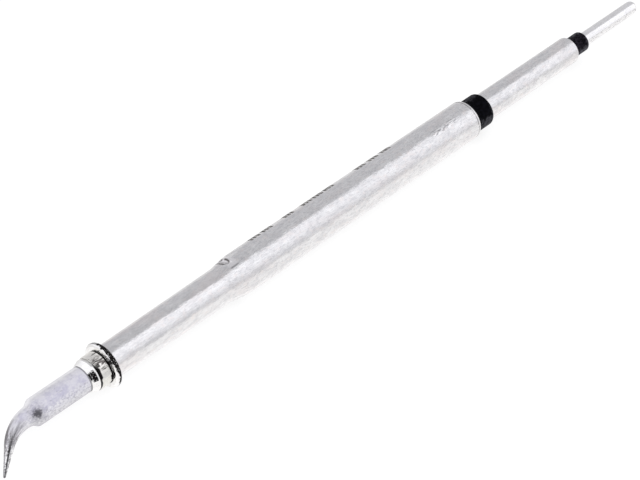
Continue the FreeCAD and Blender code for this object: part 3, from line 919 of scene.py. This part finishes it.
tick_points = bpy.data.meshes.new("scale_mark_groups")
tick_points.from_pydata([((x - tick_pitch) * 0.001, 0, 0) for x in tick_groups], [], [])
ticks = bpy.data.objects.new("scale_marks", tick_points)
bpy.context.scene.collection.objects.link(ticks)
ticks.data = built_by(tick_tree(), ticks, {
    "Ticks": ticks_in_group,
    "Pitch": tick_pitch * 0.001,
    "Width": tick_width * 0.001,
    "Height": tick_height * 0.001,
    "Barrel Radius": (barrel_radius + layer_thickness) * 0.001,
    "Side": tick_side,
    "Finish": marking_finish(),
})
ticks.data.shade_smooth()
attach(ticks, "root")

# Black insulators. Two moulded bushes of matt black plastic, the smaller one faded. The larger is held in the
# barrel's rear end and carries the contact sleeve, the smaller is held in the sleeve and carries the pin.
sleeve_radius = 1.4
sleeve_bore = 1.05
pin_radius = 0.715
seat_step = 0.1
front_bush_front = 7.85
front_bush_rear = 18.09
sleeve_front = 10.35
sleeve_rear = 31.95
rear_bush_front = 24.95
rear_bush_rear = 34.07
pin_front = 26.45
pin_rear = 43.0
lead_hole_radius = 0.47


def black_plastic_finish(name, rear_edge, faded, sheen_and_rubbing_strength):
    """Matt black moulded plastic, rubbed grey at its rear edge, with a painted grey sheen along its sides."""
    nodes = Nodes(bpy.data.materials.new(name))
    spot = nodes.place()
    along = nodes.part(spot, "X")
    grain = nodes.noise(spot, (9, 9, 9), 4, 0.6)
    dust = nodes.noise(spot, (3, 4.5, 4.5), 4, 0.65)
    black = nodes.mixed(nodes.ramp(dust, 0.36, 0.66), (0.0006, 0.0006, 0.0012, 1), faded)
    # Painted sheen: lighter grey along the low side and the far side.
    low_side = nodes.ramp(nodes.facing(spot, towards(204)) + (dust - 0.5) * 0.6, 0.72, 0.98)
    far_side = nodes.ramp(nodes.facing(spot, towards(56)) + (dust - 0.5) * 0.4, 0.88, 1.0)
    rubbed_edge = nodes.ramp(along + (dust - 0.5) * 0.6, rear_edge - 0.42, rear_edge - 0.12)
    rubbed_edge = rubbed_edge * nodes.ramp(nodes.facing(spot, towards(165)), 0.70, 0.95) * 0.6
    sheen_and_rubbing = nodes.largest(low_side, far_side * 0.7, rubbed_edge) * sheen_and_rubbing_strength
    sheen_and_rubbing = sheen_and_rubbing * (0.3 + nodes.ramp(dust, 0.35, 0.65) * 0.7)
    colour = nodes.mixed(sheen_and_rubbing, black, (0.075, 0.074, 0.084, 1))
    return nodes.surface({
        "Base Color": colour,
        "Metallic": 0.0,
        "Roughness": 0.42 + grain * 0.14,
        "Specular IOR Level": 0.02,
        "Normal": nodes.bump(grain * 0.006),
    })


front_bush = turned("front_insulator_moulded", section_points([
    (front_bush_front, lead_hole_radius, 0),
    (front_bush_front, barrel_bore, 0),
    (front_bush_rear, barrel_bore, 0.2),
    (front_bush_rear, sleeve_radius - seat_step, 0),
    (sleeve_front, sleeve_radius - seat_step, 0),
    (sleeve_front, lead_hole_radius, 0),
]), black_plastic_finish("black_insulator", front_bush_rear, (0.003, 0.003, 0.005, 1), 0.7))
rear_bush = turned("rear_insulator_moulded", section_points([
    (rear_bush_front, lead_hole_radius, 0),
    (rear_bush_front, sleeve_bore, 0),
    (rear_bush_rear, sleeve_bore, 0.16),
    (rear_bush_rear, pin_radius - seat_step, 0),
    (pin_front, pin_radius - seat_step, 0),
    (pin_front, lead_hole_radius, 0),
]), black_plastic_finish("black_insulator_small", rear_bush_rear, (0.017, 0.014, 0.020, 1), 1.1))
for bush, node in ((front_bush, "front_insulator"), (rear_bush, "rear_insulator")):
    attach(bush, "root")
    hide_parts(node)

# Contact sleeve. A steel tube in the front insulator, shouldered against it, with a rounded rear edge. It has
# the satin finish of the outer tube.
contact_steel = satin_steel_finish("contact_steel", [front_bush_rear])
sleeve = turned("contact_sleeve_turned", section_points([
    (sleeve_front, sleeve_bore, 0),
    (sleeve_front, sleeve_radius - seat_step, 0),
    (front_bush_rear, sleeve_radius - seat_step, 0),
    (front_bush_rear, sleeve_radius, 0),
    (sleeve_rear, sleeve_radius, 0.18),
    (sleeve_rear, sleeve_bore, 0),
]), contact_steel)
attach(sleeve, "root")
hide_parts("contact_sleeve")

# Contact pin. A bright plated pin with a round end, shouldered against the rear insulator, with a blind hole
# in its hidden front end for the lead.
lead_hole_end = pin_front + 2.0
pin_lead_hole = 0.15
round_end_steps = 16


def bright_pin_finish():
    """Bright plating with a soft lengthwise polish and light rubbing from the socket."""
    nodes = Nodes(bpy.data.materials.new("contact_plate"))
    spot = nodes.place()
    grain = nodes.noise(spot, (0.4, 11, 11), 4, 0.6)
    rubs = nodes.noise(spot, (0.6, 2.5, 2.5), 3, 0.6)
    flecks = nodes.noise(spot, (4, 8, 8), 3, 0.65)
    scuffed = nodes.ramp(nodes.facing(spot, towards(185)), 0.80, 0.95) * nodes.ramp(flecks, 0.54, 0.62)
    colour = nodes.layered(
        nodes.mixed(nodes.ramp(rubs, 0.4, 0.7), (1.0, 1.0, 1.0, 1), (0.95, 0.945, 0.95, 1)),
        (nodes.ramp(flecks, 0.50, 0.62) * 0.45, (0.70, 0.70, 0.71, 1)),
        (scuffed * 0.6, (0.34, 0.34, 0.35, 1)),
    )
    return nodes.surface({
        "Base Color": colour,
        "Metallic": 1.0,
        "Roughness": 0.15 + grain * 0.08,
        "Normal": nodes.bump(grain * 0.003 + rubs * 0.004),
    })


pin_section = [
    Vector((lead_hole_end, 0.0)),
    Vector((lead_hole_end, pin_lead_hole)),
    Vector((pin_front, pin_lead_hole)),
    Vector((pin_front, pin_radius - seat_step)),
    Vector((rear_bush_rear, pin_radius - seat_step)),
    Vector((rear_bush_rear, pin_radius)),
]
for k in range(round_end_steps + 1):
    angle = math.pi / 2 * k / round_end_steps
    pin_section.append(Vector((pin_rear - pin_radius * (1 - math.sin(angle)), pin_radius * math.cos(angle))))
pin = turned("contact_pin_plated", pin_section, bright_pin_finish(), closed=False)
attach(pin, "root")
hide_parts("contact_pin")

# Heater, leads, tubes and spacers. They are inside the shell and keep the solids of the frame: fired ceramic,
# oxidised resistance wire, lead wire and insulating tube, each with its own finish.


def plain_inner_finish(name, dark, light, metallic, roughness, waves, relief):
    """A finish for a hidden piece, with two colours passing into each other and a fine relief."""
    nodes = Nodes(bpy.data.materials.new(name))
    spot = nodes.place()
    mottle = nodes.noise(spot, waves, 4, 0.6)
    fine = nodes.noise(spot, (12, 12, 12), 3, 0.6)
    return nodes.surface({
        "Base Color": nodes.mixed(nodes.ramp(mottle, 0.35, 0.7), dark, light),
        "Metallic": metallic,
        "Roughness": roughness + fine * 0.12,
        "Normal": nodes.bump(fine * relief),
    })


inner_finishes = {}
for name, *values in (
    ("ceramic", (0.78, 0.75, 0.69, 1), (0.88, 0.87, 0.83, 1), 0.0, 0.5, (2, 2, 2), 0.004),
    ("resistance_wire", (0.20, 0.17, 0.15, 1), (0.46, 0.43, 0.40, 1), 1.0, 0.35, (5, 5, 5), 0.003),
    ("lead_wire", (0.55, 0.54, 0.52, 1), (0.75, 0.74, 0.71, 1), 1.0, 0.22, (1, 6, 6), 0.002),
    ("insulating_tube", (0.62, 0.56, 0.42, 1), (0.76, 0.71, 0.58, 1), 0.0, 0.42, (1, 3, 3), 0.003),
):
    inner_finishes[name] = plain_inner_finish(name, *values)
for subpart in frame["record"]["subparts"]:
    if subpart["material_slot"] in inner_finishes:
        for material_slot in bpy.data.objects[subpart["node"]].material_slots:
            material_slot.material = inner_finishes[subpart["material_slot"]]

# Floor. A plain white table under the cartridge. The camera sees it white, with the soft shadow of the
# cartridge, the metal mirrors it in soft bands of grey, and everything else is lit by it as by pale card.
floor_reach = 1.5
floor_height = -flange_radius * 0.001
floor_corners = [
    (-floor_reach, -floor_reach, floor_height),
    (floor_reach, -floor_reach, floor_height),
    (floor_reach, floor_reach, floor_height),
    (-floor_reach, floor_reach, floor_height),
]
floor_mesh = bpy.data.meshes.new("floor")
floor_mesh.from_pydata(floor_corners, [], [(0, 1, 2, 3)])
floor = bpy.data.objects.new("floor", floor_mesh)
bpy.context.scene.collection.objects.link(floor)


def white_table_finish():
    """White to the camera, banded grey in the metal's reflections, and pale card to all other light."""
    nodes = Nodes(bpy.data.materials.new("white_table"))
    seen = nodes.node("ShaderNodeLightPath", output="Is Camera Ray")
    mirrored = nodes.node("ShaderNodeLightPath", output="Is Glossy Ray")
    depth = nodes.part(nodes.place(), "Y")
    along = nodes.part(nodes.place(), "X")
    rising = nodes.ramp(depth, -45, -7) * 0.22 + nodes.ramp(depth, -3.2, -1.8) * 0.14
    falling = nodes.ramp(depth, -1.4, -0.2) * 0.10 + nodes.ramp(depth, 4.5, 8) * 0.22
    beyond_pin = nodes.ramp(along, 30, 38) * 0.10
    mirrored_level = 0.52 + rising - falling - beyond_pin
    card = nodes.node("ShaderNodeBsdfDiffuse", inputs={"Color": (0.86, 0.86, 0.86, 1)})
    faint_card = nodes.node("ShaderNodeBsdfDiffuse", inputs={"Color": (0.22, 0.22, 0.22, 1)})
    glow = nodes.emission((1, 1, 1, 1), 0.82)
    mirrored_glow = nodes.emission((1, 0.985, 0.98, 1), mirrored_level)
    lifting_glow = nodes.emission((1, 1, 1, 1), 0.16)
    white_table = nodes.node("ShaderNodeAddShader", inputs={0: faint_card, 1: glow})
    mirrored_table = nodes.node("ShaderNodeAddShader", inputs={0: faint_card, 1: mirrored_glow})
    lit_card = nodes.node("ShaderNodeAddShader", inputs={0: card, 1: lifting_glow})
    table = nodes.node("ShaderNodeMixShader", inputs={0: mirrored, 1: lit_card, 2: mirrored_table})
    table = nodes.node("ShaderNodeMixShader", inputs={0: seen, 1: table, 2: white_table})
    nodes.node("ShaderNodeOutputMaterial", inputs={"Surface": table})
    return nodes.owner


floor_mesh.materials.append(white_table_finish())

# Studio. Soft light from all round, brightest from a wide box overhead towards the camera, with a grey wall
# behind the barrel that gives the tubes their darker side, and the dark of the camera itself for the plating.
studio = Nodes(bpy.data.worlds.new("studio"))
bpy.context.scene.world = studio.owner
direction = studio.node("ShaderNodeTexCoord", output="Generated")
right = studio.part(direction, "X")
far = studio.part(direction, "Y")
up = studio.part(direction, "Z")
wall = studio.ramp(far, -0.13, -0.05) * studio.ramp(right, 0.0, 0.25)
wall = wall * (0.40 + studio.ramp(up, 0.55, 1.0) * 0.07)
front = (1 - studio.ramp(far, -0.55, -0.1)) * (1 - studio.ramp(up, 0.05, 0.62))
front = front * (1 - studio.ramp(right, 0.62, 0.72))
overhead = (1 - studio.ramp(right, 0.50, 0.58)) * studio.ramp(up, 0.55, 0.75)
overhead = overhead * (1 + studio.ramp(right, 0.44, 0.475)) * 0.07
overhead = overhead + studio.ramp(right, 0.665, 0.685) * 0.08
camera_side = (-0.406, -0.765, 0.50)
near_camera = studio.vector_maths("DOT_PRODUCT", direction, camera_side, "Value")
mirrored_light = studio.node("ShaderNodeLightPath", output="Is Glossy Ray")
dark_spot = studio.ramp(near_camera, 0.86, 0.90) * mirrored_light
level = 1.0 - wall - front * 0.26 + overhead * (1 - wall * 2)
level = level * (1 - dark_spot * 0.995)
brightest = 1.25
colour = studio.mixed(level / brightest, (0, 0, 0, 1), (0.99, 0.985, 1.02, 1))
soft_light = studio.node("ShaderNodeBackground", inputs={"Color": colour, "Strength": brightest})
white = studio.node("ShaderNodeBackground", inputs={"Color": (1, 1, 1, 1), "Strength": 1.0})
to_camera = studio.node("ShaderNodeLightPath", output="Is Camera Ray")
sky = studio.node("ShaderNodeMixShader", inputs={0: to_camera, 1: soft_light, 2: white})
studio.node("ShaderNodeOutputWorld", inputs={"Surface": sky})

lamp = bpy.data.objects.new("soft_box", bpy.data.lights.new("soft_box", "AREA"))
lamp.data.shape = "DISK"
lamp.data.size = 0.5
lamp.data.energy = 0.8
lamp.location = (-0.10, -0.22, 0.45)
lamp.rotation_euler = (Vector((0, 0, 0)) - lamp.location).to_track_quat("-Z", "Y").to_euler()
lamp.visible_glossy = False
bpy.context.scene.collection.objects.link(lamp)
